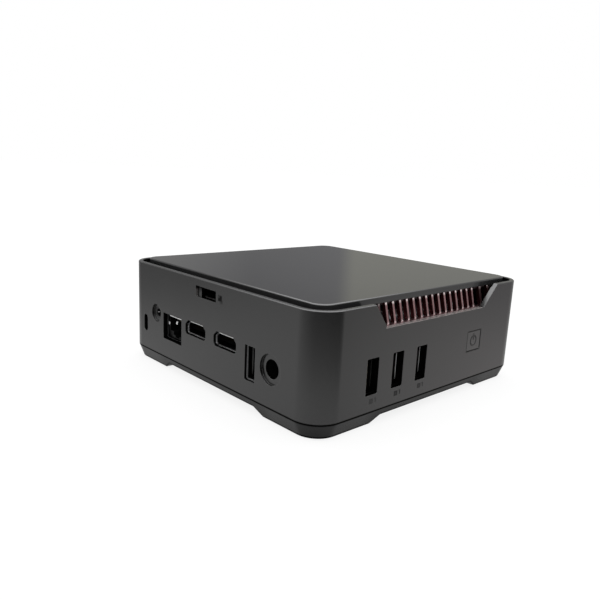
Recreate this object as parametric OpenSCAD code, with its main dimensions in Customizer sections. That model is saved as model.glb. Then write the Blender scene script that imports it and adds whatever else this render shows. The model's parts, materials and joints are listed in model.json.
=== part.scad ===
// Small square desktop computer: side shell over a tapered base, raised top
// plate in a groove, finned air grilles front and rear, ports on two sides.
// Origin: centre of the footprint on the plane the foot pads rest on, +Z up.
// The -Y face (front) holds three upright USB sockets, the power button and a grille.
// The -X face holds network, display, USB, audio, power, card and lock openings.

/* [Case] */
// Side of the square footprint
body_w = 128; // [126:0.5:132]
// Radius of the vertical corners
corner_r = 10.9; // [9.5:0.1:12.5]
// Thickness of the side wall
wall_t = 2.1; // [1.9:0.1:2.3]
// Height of the seam between base and side shell
seam_z = 5.9; // [5.7:0.1:6.2]
// Open gap that shows as the seam line
seam_gap = 0.3; // [0.2:0.05:0.5]
// Height of the side shell rim
rim_z = 45.25; // [45.05:0.05:45.6]
// Inward taper of the base, per millimetre below the seam
base_taper = 0.373; // [0.25:0.01:0.45]
// Height of the channel between the feet
foot_rise = 3.04; // [2.6:0.1:3.2]
// Half width of the channel at its roof
channel_half = 30; // [24:1:32]

/* [Top plate] */
// Height of the plate top above the rim
plate_rise = 1.15; // [0.8:0.05:1.6]
// Width of the groove around the plate
groove_w = 3.0; // [2.4:0.1:3.4]
// Corner radius of the plate
plate_r = 5.5; // [4.5:0.5:9]

/* [Grilles] */
// Distance from fin to fin
fin_pitch = 4.03; // [3.6:0.01:4.6]
// Thickness of a fin
fin_t = 1.15; // [0.8:0.05:1.5]
// Number of fins
fin_count = 16; // [14:2:16]
// Reach of the wall cut-out to the left at its bottom, seen from outside
cut_left_bottom = 30.8; // [30:0.2:32]
// Reach of the wall cut-out to the left at the rim
cut_left_top = 37.7; // [36:0.1:40]
// Reach of the wall cut-out to the right at its bottom
cut_right_bottom = 32.6; // [32:0.2:34]
// Reach of the wall cut-out to the right at the rim
cut_right_top = 41.8; // [40:0.2:42]
// Height of the bottom of the cut-out
cut_z = 36.1; // [35.5:0.1:37]

/* [Ports] */
// Positions of the front USB sockets along the face
usb_x = [-37.1, -23.1, -8.9];
// Height of the USB centres
usb_z = 19.3; // [19:0.1:19.6]
// Depth of the socket mouths behind the outer face
recess = 0.95; // [0.6:0.05:1.2]

/* [Power button] */
// Width of the button opening
button_w = 10; // [9:0.2:10.4]
// Height of the button opening
button_h = 8.6; // [8:0.1:8.8]

/* [Fan] */
// Number of impeller blades
blade_count = 23; // [15:1:29]
// Tip radius of the impeller
blade_r = 24; // [20:0.5:24.5]

/* [Hidden] */
$fn = 96;

fit = 0.03;                        // air between stacked parts
seat = 0.02;                       // air under a screw head
half_w = body_w / 2;
inner_half = half_w - wall_t;      // inner wall plane
corner_c = half_w - corner_r;      // corner centre
inner_r = corner_r - wall_t;       // inner corner radius
through = wall_t + 1;              // depth of a cut through the wall
top_z = rim_z + plate_rise;
deck_z1 = rim_z - 1.35;            // groove floor
deck_z0 = deck_z1 - 1.2;           // underside of the deck
plate_half = inner_half - groove_w;
board_z0 = 27.0;                   // underside of the main board
board_z1 = 28.6;                   // top of the main board
under_board = board_z0 - fit;
over_board = board_z1 + fit;

// Fastener places; a single number is used as +-x and +-y
foot_xy = 51.5;
case_post_xy = 42;
plate_screw_xy = 49;
board_bosses = [[-50, -55], [-50, 55], [52, -20], [52, 20]];
heatsink_holes = [[-31, -30], [33, -30], [-31, 29], [33, 29]];
card_hole_x = -half_w + 18;
card_holes = [[card_hole_x, -9.3], [card_hole_x, 11.3]];

// Port centres: [along the face, z]
button_at = [27.3, 22.3];
usb_1_at = [usb_x[0], usb_z];
usb_2_at = [usb_x[1], usb_z];
usb_3_at = [usb_x[2], usb_z];
io_usb_at = [-28.4, usb_z];
hdmi_1_at = [8.05, 23.6];
hdmi_2_at = [-12.5, 23.6];
lan_at = [26.1, 20.0];
audio_at = [39.6, 24.3];
dc_at = [-40.0, 20.3];
lock_at = [49.2, 17.95];
card_y = -0.7;

case_grey = [0.22, 0.22, 0.225];
metal = [0.75, 0.75, 0.76];
board_green = [0.06, 0.2, 0.1];
module_green = [0.05, 0.25, 0.12];
black = [0.05, 0.05, 0.05];
red = [0.55, 0.16, 0.18];

// ---- shared shapes ----
module box(low, high) translate(low) cube(high - low);
module rod_z(radius, z0, z1) translate([0, 0, z0]) cylinder(r = radius, h = z1 - z0);
module rod_y(radius, y0, y1)
  translate([0, y0, 0]) rotate([-90, 0, 0]) cylinder(r = radius, h = y1 - y0);
// box centred on the Y axis
module box_y(width, height, y0, y1)
  box([-width / 2, y0, -height / 2], [width / 2, y1, height / 2]);
// profile in (x, z) run along +Y
module along_y(y0, y1)
  translate([0, y1, 0]) rotate([90, 0, 0]) linear_extrude(height = y1 - y0) children();
// profile in (y, z) given a thickness centred on x = 0
module along_x(thickness)
  rotate([90, 0, 90]) linear_extrude(height = thickness, center = true) children();
module at_corners(distance)
  for (x = [-distance, distance], y = [-distance, distance]) translate([x, y, 0]) children();
module at_points(points, z = 0)
  for (p = points) translate([p[0], p[1], z]) children();
module front_and_rear() for (turn = [0, 180]) rotate([0, 0, turn]) children();

// rounded square block
module rounded_block(half, radius, z0, z1) {
  centre = half - radius;
  box([-centre, -half, z0], [centre, half, z1]);
  box([-half, -centre, z0], [half, centre, z1]);
  at_corners(centre) rod_z(radius, z0, z1);
}
// rounded square with tapered sides: corner radius r0 at z0, r1 at z1
module tapered_block(centre, r0, r1, z0, z1) {
  low = centre + r0;
  high = centre + r1;
  for (turn = [90, 0])
    rotate([0, 0, turn]) rotate([90, 0, 0])
      linear_extrude(height = 2 * centre, center = true)
        polygon([[-low, z0], [low, z0], [high, z1], [-high, z1]]);
  at_corners(centre) translate([0, 0, z0]) cylinder(r1 = r0, r2 = r1, h = z1 - z0);
}
// box on the Y axis with its edges along Y rounded
module rounded_box_y(width, height, radius, y0, y1) {
  box_y(width - 2 * radius, height, y0, y1);
  box_y(width, height - 2 * radius, y0, y1);
  for (sx = [-1, 1], sz = [-1, 1])
    translate([sx * (width / 2 - radius), y0, sz * (height / 2 - radius)])
      rotate([-90, 0, 0]) cylinder(r = radius, h = y1 - y0, $fn = 32);
}
// placement on the front (-Y) face and on the connector (-X) face;
// local +Y points into the case, local +X to the right seen from outside
module front(at) translate([at[0], -half_w, at[1]]) children();
module side(at) translate([-half_w, at[0], at[1]]) rotate([0, 0, -90]) children();

// cross-slotted screw: head below z = 0, shank above
module screw(head_r, head_h, shank_r, length) {
  slot_l = head_r * 1.1;
  slot_w = head_r * 0.26;
  difference() {
    union() {
      rod_z(head_r, -head_h, 0);
      cylinder(r = shank_r, h = length);
    }
    for (turn = [0, 90]) rotate([0, 0, turn])
      translate([-slot_l / 2, -slot_w / 2, -head_h - 1])
        cube([slot_l, slot_w, 1 + head_h * 0.55]);
  }
}
module screw_down(head_r, head_h, shank_r, length)
  rotate([180, 0, 0]) screw(head_r, head_h, shank_r, length);

// ---- openings ----
// rectangle with cut corners, larger ones at the top
module hdmi_outline(width, height, top_cut, bottom_cut) {
  x = width / 2;
  z = height / 2;
  polygon([[-x + bottom_cut, -z], [x - bottom_cut, -z], [x, -z + bottom_cut],
    [x, z - top_cut * 0.95], [x - top_cut, z], [-x + top_cut, z],
    [-x, z - top_cut * 0.95], [-x, -z + bottom_cut]]);
}
// grille cut-out, its slanted ends continued above the rim
module cut_outline() {
  end_z = 50;
  stretch = (end_z - cut_z) / (rim_z - cut_z);
  polygon([[-cut_left_bottom, cut_z], [cut_right_bottom, cut_z],
    [cut_right_bottom + stretch * (cut_right_top - cut_right_bottom), end_z],
    [-cut_left_bottom - stretch * (cut_left_top - cut_left_bottom), end_z]]);
}
// upright slot with round ends
module lock_slot(radius, y0, y1) {
  end_z = 2.2;
  box_y(2 * radius, 2 * end_z, y0, y1);
  for (z = [-end_z, end_z]) translate([0, 0, z]) rod_y(radius, y0, y1);
}
// round hole with a wider outer step
module stepped_hole(outer_r, hole_r) {
  rod_y(outer_r, -1, 1.0);
  rod_y(hole_r, 0, through);
}
module port_holes() {
  for (x = usb_x) front([x, usb_z]) rounded_box_y(6.3, 13.6, 0.5, -1, through);
  front(button_at) rounded_box_y(button_w, button_h, 0.9, -1, through);
  side(io_usb_at) rounded_box_y(6.1, 13.5, 0.5, -1, through);
  for (at = [hdmi_1_at, hdmi_2_at])
    side(at) along_y(-1, through) hdmi_outline(14.9, 6.1, 2.0, 1.0);
  side(lan_at) rounded_box_y(15.0, 11.6, 0.4, -1, through);
  side(audio_at) stepped_hole(4.0, 2.6);
  side(dc_at) stepped_hole(5.75, 3.6);
  side([card_y, 40.0]) rounded_box_y(11.2, 4.4, 0.4, -1, wall_t + 0.3);
  side([0.75, 40.0]) rounded_box_y(14.1, 4.4, 0.5, -1, 0.8); // fingernail relief
  side(lock_at) lock_slot(1.65, -1, through);
}

// ---- case ----
base_z0 = 0.3;          // underside of the feet
pad_seat_z = 0.2;       // start of the pad and screw recesses
base_screw_z = 2.6;     // roof of the screw recesses
edge_chamfer = 0.3;     // chamfer on both edges of the shell rim
plate_chamfer = 0.4;
grille_half = 43.2;
grille_inner_y = 55.4;  // inner edge of the deck openings
grille_top = deck_z1 - 0.1;

module base_cover() color(case_grey) {
  inset = base_taper * (seam_z - base_z0);
  lip_half = inner_half - 0.15;
  lip_r = inner_r - 0.15;
  lip_t = 1.5;
  difference() {
    union() {
      tapered_block(corner_c, corner_r - inset, corner_r, base_z0, seam_z - seam_gap / 2);
      rounded_block(lip_half, lip_r, seam_z - 0.5, 8.2);
    }
    rounded_block(lip_half - lip_t, lip_r - lip_t, 5.0, 9);
    // channel between the feet, both ways
    for (turn = [0, 90]) rotate([0, 0, turn]) rotate([90, 0, 0])
      linear_extrude(height = 2 * half_w + 2, center = true)
        polygon([[-channel_half - 6, -0.6], [channel_half + 6, -0.6],
          [channel_half, foot_rise], [-channel_half, foot_rise]]);
    at_corners(foot_xy) rod_z(6.1, pad_seat_z, 1.25);
    at_corners(case_post_xy) {
      rod_z(3.3, pad_seat_z, base_screw_z);
      cylinder(r = 1.7, h = 6);
    }
    // air inlet slots under the board
    for (i = [-6:6]) box([-24, i * 4 - 0.9, 2], [24, i * 4 + 0.9, 6]);
    // lightening pockets inside the feet
    for (x = [-53, 53], y = [-40.5, 40.5])
      box([x - 3.5, y - 3.5, 2.4], [x + 3.5, y + 3.5, 6]);
  }
}

module side_shell() color(case_grey) difference() {
  union() {
    difference() {
      union() {
        rounded_block(half_w, corner_r, seam_z + seam_gap / 2, rim_z - edge_chamfer);
        tapered_block(corner_c, corner_r, corner_r - edge_chamfer, rim_z - edge_chamfer, rim_z);
      }
      rounded_block(inner_half, inner_r, seam_z - 1, deck_z0);
      rounded_block(inner_half, inner_r, deck_z1, rim_z + 1);
      tapered_block(corner_c, inner_r, inner_r + edge_chamfer,
        rim_z - edge_chamfer, rim_z + 0.001);
      // deck is open behind both grilles
      front_and_rear()
        box([-grille_half - 0.4, -inner_half - 0.001, deck_z0 - 1],
          [grille_half + 0.4, -grille_inner_y, deck_z1 + 1]);
    }
    // posts for the case screws
    at_corners(case_post_xy) rod_z(3.4, 5.1, deck_z0 + 0.4);
    // bosses that carry the main board
    at_points(board_bosses) rod_z(2.9, over_board, deck_z0 + 0.4 + fit);
  }
  port_holes();
  front_and_rear() front([0, 0]) along_y(-1, wall_t + 0.01) cut_outline();
  at_corners(case_post_xy) rod_z(1.5, 4, 16);
  at_points(board_bosses) rod_z(1.22, board_z1 - 1, board_z1 + 6);
  at_corners(plate_screw_xy) rod_z(1.2, deck_z0 - 1, deck_z0 + 3);
}

module top_plate() color([0.3, 0.3, 0.31]) {
  z0 = deck_z1 + fit;
  chamfer_z = top_z - plate_chamfer;
  skirt_t = 1.6;
  difference() {
    union() {
      rounded_block(plate_half, plate_r, z0, chamfer_z);
      tapered_block(plate_half - plate_r, plate_r, plate_r - plate_chamfer, chamfer_z, top_z);
    }
    // hollow underside, with a round pad kept at each screw
    difference() {
      rounded_block(plate_half - skirt_t, plate_r - skirt_t, z0 - 1, top_z - 1.3);
      at_corners(plate_screw_xy) rod_z(3, z0, z0 + 3);
    }
    at_corners(plate_screw_xy) rod_z(0.97, z0 - 1, z0 + 1.1);
  }
}

// one slanted fin
module grille_fin(thickness) along_x(thickness)
  polygon([[-60.55, 34.5], [-59.3, 34.5], [-56.6, grille_top - 0.6],
    [-56.6, grille_top], [-58.6, grille_top], [-60.55, 36.0]]);
// finned grille insert, drawn for the -Y side
module grille() {
  front_y = -inner_half + 0.15; // just behind the wall
  rail_y = front_y + 2.6;
  rail_z = 33.6;
  top_y = -56.2;
  // bottom rail, just below the floor of the cut-out
  box([-grille_half, front_y, rail_z], [grille_half, rail_y, cut_z - 0.05]);
  // end plates
  for (s = [-1, 1]) translate([s * (grille_half - 0.6), 0, 0]) along_x(1.2)
    polygon([[front_y, rail_z], [rail_y, rail_z], [top_y, grille_top - 2],
      [top_y, grille_top], [-58.6, grille_top], [front_y, 36.4]]);
  // top rail
  box([-grille_half, -57.6, grille_top - 1.1], [grille_half, top_y, grille_top]);
  for (i = [0:fin_count - 1])
    translate([(i - (fin_count - 1) / 2) * fin_pitch, 0, 0]) grille_fin(fin_t);
  // thicker fin beyond the last one at each end
  for (x = [-36.5, 36.5]) translate([x, 0, 0]) grille_fin(1.5);
}
module front_grille() color(red) grille();
module rear_grille() color(red) rotate([0, 0, 180]) grille();

module foot_pads() color(black) at_corners(foot_xy) difference() {
  cylinder(r = 6, h = 1.22);
  rod_z(3.6, -0.5, 0.2);
}
module base_screws() color(metal) at_corners(case_post_xy)
  translate([0, 0, base_screw_z - seat]) screw(2.9, 1.6, 1.48, 11);
module plate_screws() color(metal) at_corners(plate_screw_xy)
  translate([0, 0, deck_z0 - seat]) screw(1.9, 1.1, 0.95, 2.2);
module lock_plate() color(metal) side(lock_at) difference() {
  box([-3.8, wall_t + 0.05, -6], [5, wall_t + 1.2, 6]);
  lock_slot(1.75, 0, 5);
}

// ---- power button ----
module power_button() color([0.25, 0.25, 0.255]) front(button_at) {
  rounded_box_y(button_w - 0.4, button_h - 0.4, 0.75, 0.1, wall_t + 0.4);
  // flange behind the wall
  box([-button_w / 2 - 0.8, wall_t + 0.2, -button_h / 2 - 0.6],
    [button_w / 2 + 0.8, wall_t + 1.2, button_h / 2 + 0.4]);
  rod_y(1.5, wall_t + 1, 5.28);
}
module button_retainer() color(black) front(button_at) difference() {
  union() {
    box([-7.9, 4.1, -5.4], [7.9, 5.0, 5.2]);
    for (x = [-7.1, 7.1]) box([x - 0.8, wall_t + 0.05, -5.4], [x + 0.8, 4.6, 5.2]);
  }
  rod_y(1.8, 3, 6);
}
module power_switch() color(black) front(button_at) difference() {
  box([-3.2, 6.4, -3], [3.2, 10.4, under_board - button_at[1]]);
  rod_y(1.45, 6, 9.4);
}
module switch_plunger() color("ivory") front(button_at) rod_y(1.4, 5.3, 8);

// ---- main board ----
// raised blocks on the upper side: x, y, width, depth, height
board_blocks = [
  [-50, -30, 8, 8, 1.2], [-48, -14, 6, 5, 1.0], [44, -4, 7, 7, 3],
  [44, 6, 7, 7, 3], [44, -32, 9, 6, 1.3], [-49, 30, 9, 9, 1.1],
  [20, 44, 12, 12, 1.2], [-24, 44, 9, 12, 1.2], [12, -48, 5, 7, 1.1]];
// upright cylinders on the upper side
board_cans = [[50, -50], [44, 34], [-36, 50]];

module mainboard() color(board_green) difference() {
  union() {
    rounded_block(half_w - 3, 8, board_z0, board_z1);
    for (b = board_blocks)
      box([b[0] - b[2] / 2, b[1] - b[3] / 2, board_z1 - 0.1],
        [b[0] + b[2] / 2, b[1] + b[3] / 2, board_z1 + b[4]]);
    at_points(board_cans) rod_z(2.5, board_z1 - 0.1, board_z1 + 5.5);
  }
  box([18.6, -half_w, 20], [36.0, -55.4, 30]); // notch behind the power button
  at_corners(case_post_xy) rod_z(3.7, 20, 32);
  at_points(board_bosses) rod_z(1.5, 20, 32);
  at_points(heatsink_holes) rod_z(1.4, 20, 32);
}
module board_screws() color(metal)
  at_points(board_bosses, board_z0 - seat) screw(2.4, 1.3, 1.2, 6);

// ---- connectors, local frame: mouth towards -Y ----
module usb_shell() difference() {
  rounded_box_y(5.8, 13.1, 0.6, recess, 14.6);
  rounded_box_y(5.1, 12.4, 0.3, recess - 1, 14.2);
}
module usb_tongue() {
  box([0.1, recess + 1.4, -5.6], [1.95, 11, 5.6]);
  rounded_box_y(5.0, 12.3, 0.3, 10.6, 14.15);
}
module usb_1_shell() color(metal) front(usb_1_at) usb_shell();
module usb_2_shell() color(metal) front(usb_2_at) usb_shell();
module usb_3_shell() color(metal) front(usb_3_at) usb_shell();
module io_usb_shell() color(metal) side(io_usb_at) usb_shell();
module usb_1_tongue() color(black) front(usb_1_at) usb_tongue();
module usb_2_tongue() color(black) front(usb_2_at) usb_tongue();
module usb_3_tongue() color(black) front(usb_3_at) usb_tongue();
module io_usb_tongue() color(black) side(io_usb_at) rotate([0, 180, 0]) usb_tongue();

module hdmi_shell() difference() {
  along_y(recess, 12.2) hdmi_outline(14.3, 5.5, 1.9, 0.6);
  along_y(recess - 1, 11.8) hdmi_outline(13.6, 4.8, 1.75, 0.45);
}
module hdmi_tongue() {
  box([-5.4, recess + 1.4, -0.75], [5.4, 9, 0.35]);
  along_y(8.6, 11.75) hdmi_outline(13.5, 4.7, 1.75, 0.45);
}
module hdmi_1_shell() color(metal) side(hdmi_1_at) hdmi_shell();
module hdmi_2_shell() color(metal) side(hdmi_2_at) hdmi_shell();
module hdmi_1_tongue() color(black) side(hdmi_1_at) hdmi_tongue();
module hdmi_2_tongue() color(black) side(hdmi_2_at) hdmi_tongue();

module lan_shield() color(metal) side(lan_at) difference() {
  box_y(14.7, 11.3, 1.9, 17.4);
  box_y(14.1, 10.7, 1, 17.1);
}
// block with a three-step plug opening
module lan_insert() color(black) side(lan_at) difference() {
  box_y(14, 10.6, 2.6, 17.05);
  box([-5.95, 2, -2.3], [5.95, 13.5, 4.6]);
  box([-3.1, 2, -3.7], [3.1, 13.5, -2]);
  box([-1.6, 2, -4.7], [1.6, 13.5, -3.5]);
}
module lan_contacts() color([0.85, 0.7, 0.35]) side(lan_at)
  for (i = [-3.5:1:3.5]) translate([i * 1.02, 0, 0]) along_x(0.45)
    polygon([[13.45, 4.15], [5.2, 1.9], [4.8, 2.1], [5.1, 2.35], [13.45, 4.5]]);

module audio_jack() color(black) side(audio_at) difference() {
  union() {
    rod_y(2.5, 1.15, 3);
    box_y(6.2, 5.3, wall_t + 0.1, 14);
  }
  rod_y(1.8, 0, 12.5);
}
module dc_jack() color(black) side(dc_at) difference() {
  box([-4.9, wall_t + 0.1, -5.4], [4.9, 14.2, 6.65]);
  rod_y(3.2, 1, 11.2);
  rod_y(0.92, 10, 13);
}
module dc_pin() color(metal) side(dc_at) {
  rod_y(1.25, 5.6, 11.1);
  rod_y(0.9, 11, 12.8);
  translate([0, 5.6, 0]) sphere(r = 1.25);
}

// ---- card reader on its own small board ----
card_z0 = 38.0;
card_z1 = 39.0;

module card_board() color(board_green) difference() {
  box([-half_w + 3, -11.5, card_z0], [-half_w + 22, 13.5, card_z1]);
  at_points(card_holes) rod_z(1.1, card_z0 - 1, card_z1 + 1);
}
module card_reader() color(metal) side([card_y, 40.1]) difference() {
  box([-6.6, 2.3, -1.07], [6.6, 17.5, 0.95]);
  box_y(11.2, 1, 2, 16.9);
}
module card_board_spacers() color("ivory") at_points(card_holes) difference() {
  rod_z(2, over_board, card_z0 - fit);
  rod_z(0.98, board_z1 - 1, board_z1 + 11);
}
module card_board_screws() color(metal)
  at_points(card_holes, card_z1 + seat) screw_down(1.8, 1.0, 0.95, 5);
module card_ribbon() color([0.8, 0.62, 0.3]) translate([-half_w, 0, 0]) along_y(-3, 5)
  polygon([[22.1, 38.4], [24.7, 38.4], [24.7, board_z1 + 0.05],
    [25.0, board_z1 + 0.05], [25.0, 38.7], [22.1, 38.7]]);

// ---- processor and heatsink ----
sink_z1 = 31.6;        // top of the heatsink base
sink_front_y = -55;
sink_fin_y = -40.6;    // rear end of the fins
sink_fin_x = -28.6;    // left side of the first fin
sink_fin_pitch = 2.2;
sink_fin_t = 0.5;

module cpu_package() color([0.1, 0.25, 0.14]) {
  box([-14, -27, board_z1 + 0.02], [10, -1, board_z1 + 0.95]);
  box([-7, -19, board_z1 + 0.9], [3, -9, board_z1 + 1.5]);
}
module thermal_pad() color("lightgrey")
  box([-8, -20, board_z1 + 1.52], [4, -8, board_z1 + 1.78]);
module heatsink() color([0.7, 0.7, 0.71]) difference() {
  union() {
    box([-34, sink_front_y, board_z1 + 1.8], [36, 32, sink_z1]);
    for (i = [0:27]) translate([sink_fin_x + i * sink_fin_pitch, 0, 0])
      box([0, sink_front_y, sink_z1 - 0.1], [sink_fin_t, sink_fin_y, 39.6]);
    box([sink_fin_x, sink_front_y, 39.3],
      [sink_fin_x + 27 * sink_fin_pitch + sink_fin_t, sink_fin_y, 39.8]);
  }
  at_points(heatsink_holes) rod_z(1.4, 28, 34);
}
module heatsink_screws() color(metal)
  at_points(heatsink_holes, sink_z1 + seat) screw_down(2.3, 1.3, 1.2, 5.0);

// ---- fan ----
fan_x = 1;
fan_y = 2;
fan_ears = [[-27.2, 2], [29.2, -18], [21.6, 22.6]];
fan_ear_r = 2.2;
fan_r = 27.4;             // outside of the housing wall
fan_inner_r = 26.3;
fan_z0 = sink_z1 + 0.05;
fan_floor_z = 32.5;
fan_rim_z = 38.6;
fan_cover_z1 = 39.1;
rotor_z0 = 33.3;

module at_fan() translate([fan_x, fan_y, 0]) children();
// round towards +Y, straight-sided up to the outlet at -Y
module fan_outline(radius, z0, z1) {
  at_fan() rod_z(radius, z0, z1);
  box([fan_x - radius, -40.4, z0], [fan_x + radius, fan_y, z1]);
}
module fan_housing() color(black) difference() {
  union() {
    difference() {
      fan_outline(fan_r, fan_z0, fan_rim_z);
      difference() {
        fan_outline(fan_inner_r, fan_floor_z, 40);
        // throat wall that steers air towards the outlet
        box([fan_x + 14, -41, 32], [fan_x + 27, -26.5, 39]);
      }
      box([fan_x - fan_inner_r, -42, fan_floor_z], [fan_x + 14, -30, 40]);
    }
    at_fan() rod_z(3.4, 32.4, 33.2);
    at_points(fan_ears) rod_z(fan_ear_r, fan_z0, fan_rim_z);
  }
  at_fan() rod_z(2.53, fan_floor_z, 35.5);
  at_fan() rod_z(1.3, 31.9, 33.9);
  at_points(fan_ears) rod_z(0.82, 34, 40);
}
module fan_cover() color([0.55, 0.55, 0.56]) difference() {
  union() {
    fan_outline(fan_r, fan_rim_z + fit, fan_cover_z1);
    at_points(fan_ears) rod_z(fan_ear_r, fan_rim_z + fit, fan_cover_z1);
  }
  at_fan() rod_z(18, 38, 41);
  at_points(fan_ears) rod_z(1.0, 38, 41);
}
module fan_rotor() color([0.12, 0.12, 0.13]) at_fan() difference() {
  union() {
    rod_z(9.2, rotor_z0, 38.2);
    for (i = [0:blade_count - 1]) rotate([0, 0, i * 360 / blade_count])
      translate([8.6, 0, rotor_z0]) rotate([0, 0, -14])
        translate([0, -0.35, 0]) cube([blade_r - 8.4, 0.7, 4.7]);
  }
  rod_z(7.6, 33, 36.9);
  rod_z(1.0, 33, 37.6);
}
module fan_shaft() color(metal) at_fan() rod_z(1.0, 32.6, 37.58);
module fan_bearing() color([0.75, 0.6, 0.3]) at_fan() difference() {
  rod_z(2.5, 32.52, 36.12);
  rod_z(1.04, 32, 38);
}
module fan_stator() color([0.6, 0.35, 0.2]) at_fan() difference() {
  union() {
    rod_z(4.2, 33.25, 36.15);
    // six T-shaped poles
    for (i = [0:5]) rotate([0, 0, i * 60]) {
      box([3.8, -1.0, 33.7], [6.4, 1.0, 35.7]);
      box([6.0, -1.9, 33.5], [6.9, 1.9, 35.9]);
    }
  }
  rod_z(2.53, 33, 37);
}
module fan_screws() color(metal)
  at_points(fan_ears, fan_cover_z1 + seat) screw_down(1.7, 0.8, 0.8, 4);

// round wire through a list of points
module wire(radius, path) for (i = [1:len(path) - 1]) {
  run = path[i] - path[i - 1];
  length = norm(run);
  translate(path[i - 1]) rotate([0, acos(run[2] / length), atan2(run[1], run[0])])
    cylinder(r = radius, h = length);
  translate(path[i - 1]) sphere(r = radius);
  translate(path[i]) sphere(r = radius);
}
module fan_cable() color(black) {
  wire(0.8, [[24.5, 24.5, 33.2], [40.5, 24.5, 33.2], [40.5, 24.5, 31.0]]);
  box([38.5, 21.5, board_z1 + 0.05], [42.5, 27.5, 31.2]);
}

// ---- parts under the board ----
ssd_screw_at = [-34, -1, 0];
battery_at = [8, -32, 0];

module memory_module() color(module_green) {
  box([-30, 17, 23.4], [37.6, 47, 24.4]);
  // four chips on each side
  for (i = [0:3], z = [22.3, 24.35])
    box([-26 + i * 16.5, 22, z], [-15 + i * 16.5, 34, z + 1.15]);
}
module memory_socket() color(black) difference() {
  box([-33, 45.5, 22.4], [38.4, 52.4, under_board]);
  box([-30.1, 45, 23.3], [37.7, 47.1, 24.5]);
}
module ssd() color(module_green) difference() {
  union() {
    box([-34, -12, 23.8], [46, 10, 24.6]);
    box([-24, -9, 22.6], [-6, 7, 23.85]);
    box([0, -9, 22.6], [18, 7, 23.85]);
    box([24, -6, 22.8], [36, 5, 23.85]);
  }
  translate(ssd_screw_at) rod_z(1.6, 20, 28);
}
module ssd_socket() color(black) difference() {
  box([44.6, -12.8, 22.6], [52.4, 10.8, under_board]);
  box([44, -12.1, 23.7], [46.1, 10.1, 24.7]);
}
// standoff and its screw
module ssd_fastener() color(metal) translate(ssd_screw_at) {
  difference() {
    rod_z(2.3, 24.65, under_board);
    rod_z(0.98, 24, 26.5);
  }
  translate([0, 0, 23.75]) screw(2.3, 0.9, 0.95, 2.4);
}
module wifi_module() color(metal) box([-26, -34, 25.4], [-10, -22, under_board]);
module antennas() color([0.75, 0.55, 0.3])
  for (y = [-34, 10]) box([inner_half - 0.6, y, 12], [inner_half - 0.1, y + 32, 20]);
module antenna_leads() color(black) {
  wire(0.5, [[-14, -31, 24.8], [-14, -31, 18], [60, -31, 18]]);
  wire(0.5, [[-14, -25, 24.8], [-14, -25, 16.5], [56, -25, 16.5],
    [56, 24, 16.5], [60, 24, 16.5]]);
}
module battery_holder() color(black) translate(battery_at) difference() {
  rod_z(11.4, 23.0, under_board);
  rod_z(10.1, 22, 26.3);
  box([-5, -12, 22], [5, -7, 26.3]);
}
module rtc_battery() color(metal) translate(battery_at) {
  rod_z(10, 23.4, 25.6);
  rod_z(9, 25.5, 26.25);
}

base_cover();
side_shell();
top_plate();
front_grille();
rear_grille();
foot_pads();
base_screws();
plate_screws();
power_button();
button_retainer();
power_switch();
switch_plunger();
lock_plate();
mainboard();
board_screws();
usb_1_shell();
usb_1_tongue();
usb_2_shell();
usb_2_tongue();
usb_3_shell();
usb_3_tongue();
io_usb_shell();
io_usb_tongue();
hdmi_1_shell();
hdmi_1_tongue();
hdmi_2_shell();
hdmi_2_tongue();
lan_shield();
lan_insert();
lan_contacts();
audio_jack();
dc_jack();
dc_pin();
card_board();
card_reader();
card_board_spacers();
card_board_screws();
card_ribbon();
cpu_package();
thermal_pad();
heatsink();
heatsink_screws();
fan_housing();
fan_cover();
fan_rotor();
fan_shaft();
fan_bearing();
fan_stator();
fan_screws();
fan_cable();
memory_module();
memory_socket();
ssd();
ssd_socket();
ssd_fastener();
wifi_module();
antennas();
antenna_leads();
rtc_battery();
battery_holder();
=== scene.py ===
"""Looks, stage and camera for a small square computer.

The case is a rounded square in plan, centred on the Z axis and standing on z = 0. Its front wall,
with three upright USB sockets and the power button, faces -Y. The wall facing -X (the side wall)
holds the other sockets. Objects are built in metres; case sizes and shader masks are in mm.
"""
import json
import math
import bmesh
import bpy
from mathutils import Matrix, Vector


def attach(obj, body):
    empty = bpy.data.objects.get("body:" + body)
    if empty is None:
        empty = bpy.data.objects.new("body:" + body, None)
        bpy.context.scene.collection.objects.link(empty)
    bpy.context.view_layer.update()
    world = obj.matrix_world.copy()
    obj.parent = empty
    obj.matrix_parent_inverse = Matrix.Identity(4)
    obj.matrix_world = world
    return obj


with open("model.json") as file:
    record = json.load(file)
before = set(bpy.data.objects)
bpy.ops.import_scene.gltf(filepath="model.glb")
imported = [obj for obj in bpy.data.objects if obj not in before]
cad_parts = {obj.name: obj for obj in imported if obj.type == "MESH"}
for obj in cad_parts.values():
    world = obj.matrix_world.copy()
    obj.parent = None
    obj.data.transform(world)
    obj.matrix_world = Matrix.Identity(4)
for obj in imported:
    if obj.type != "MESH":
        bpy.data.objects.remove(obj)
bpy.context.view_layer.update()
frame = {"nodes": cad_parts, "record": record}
scene = bpy.context.scene

MM = 0.001
HALF_WIDTH = 64.0
CORNER_RADIUS = 10.9
CORNER_CENTRE = HALF_WIDTH - CORNER_RADIUS
SEAM_Z = 5.9                      # joint between the side shell and the base cover
PLATE_FADE_Z = (46.02, 45.85)     # below these heights the top plate's side gets painted shade and a painted lift

# front wall: centres in x, or (x, z)
USB_XS = (-37.1, -23.1, -8.9)
BUTTON = (27.3, 22.3)
SYMBOL = (27.1, 22.3)             # printed power symbol

# side wall: centres in y, or (y, z)
SIDE_USB_Y = -28.4
HDMI_YS = (8.05, -12.5)
LAN = (26.1, 20.0)
AUDIO = (39.6, 24.3)
DC = (-40.0, 20.3)
LOCK = (49.2, 17.95)

USB_Z = 19.3
HDMI_Z = 23.6

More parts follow.
